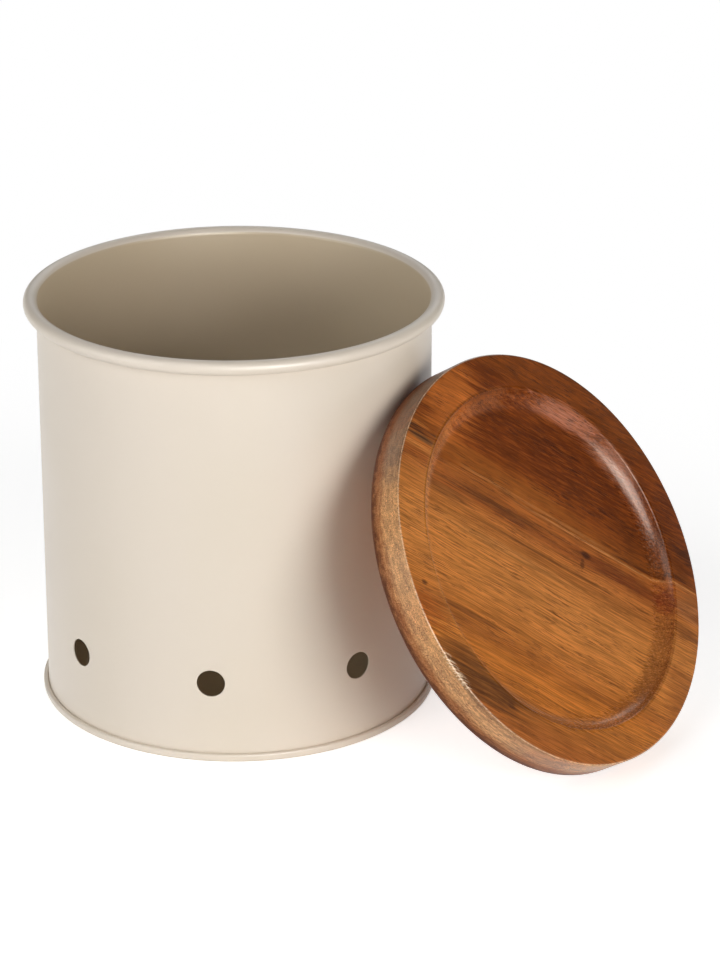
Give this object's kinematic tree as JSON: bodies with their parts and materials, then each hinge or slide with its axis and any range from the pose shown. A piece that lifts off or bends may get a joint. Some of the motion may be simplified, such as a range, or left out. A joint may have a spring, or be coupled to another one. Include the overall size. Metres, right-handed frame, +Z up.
{
  "type": "garlic keeper",
  "caption": "Round vented steel canister with a curled rim and seamed base, for storing bulbs, with a turned wooden lid that is shown taken off and leaning on the wall.",
  "frame": {"origin": "centre of the canister's foot, on the surface that it stands on", "axes": "+Z up along the canister's axis; -Y is the front, where one vent faces; the lid leans on the wall at the front right (+X, -Y)"},
  "size_m": [0.2184, 0.1644, 0.1354],
  "materials": {
    "canister_paint": "satin warm cream powder coat",
    "stave_golden": "oiled golden brown acacia, satin",
    "stave_dark": "oiled dark reddish acacia, satin",
    "gasket_silicone": "matte translucent silicone"
  },
  "bodies": {
    "canister": {"canister_wall": "canister_paint", "base_pan": "canister_paint"},
    "lid": {"lid_stave_wide": "stave_golden", "lid_stave_narrow": "stave_dark", "lid_gasket": "gasket_silicone"}
  },
  "joints": [
    {"name": "lid_lift", "type": "slide", "parent": "canister", "child": "lid", "axis": [0.7316, -0.4139, 0.5417], "range_m": [0, 0.12]}
  ]
}
